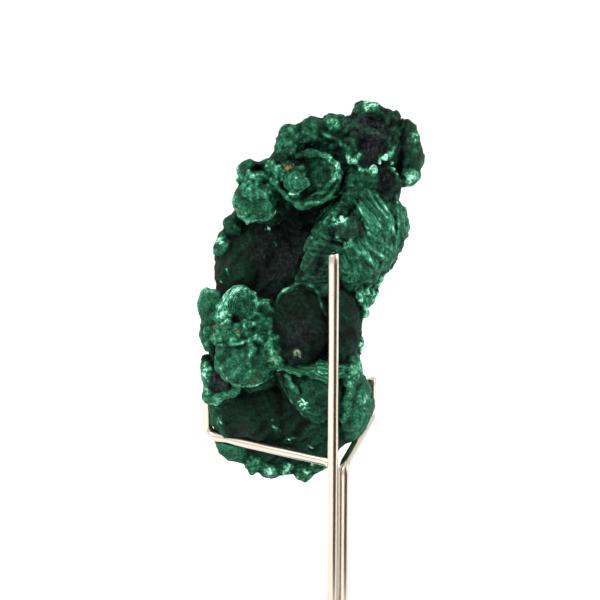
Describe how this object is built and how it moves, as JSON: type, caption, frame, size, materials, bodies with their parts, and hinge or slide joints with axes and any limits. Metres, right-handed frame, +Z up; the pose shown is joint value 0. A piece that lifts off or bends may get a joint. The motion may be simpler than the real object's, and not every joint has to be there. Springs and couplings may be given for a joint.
{
  "type": "malachite specimen",
  "caption": "Fibrous velvety malachite cluster with curled lobes and knobs, resting in the upturned arms of a bent-wire stand on a round lacquered base.",
  "frame": {"origin": "centre of the underside of the round base", "axes": "+Z is up, along the wires; -Y is the side of the straight back post; +X is to the right of someone who looks at that side"},
  "size_m": [0.06, 0.06, 0.1205],
  "materials": {
    "malachite": "matte",
    "nickel_wire": "satin",
    "black_lacquer": "satin"
  },
  "bodies": {
    "root": {"malachite_specimen": "malachite", "back_post": "nickel_wire", "left_arm": "nickel_wire", "right_arm": "nickel_wire", "stand_base": "black_lacquer"}
  },
  "joints": []
}
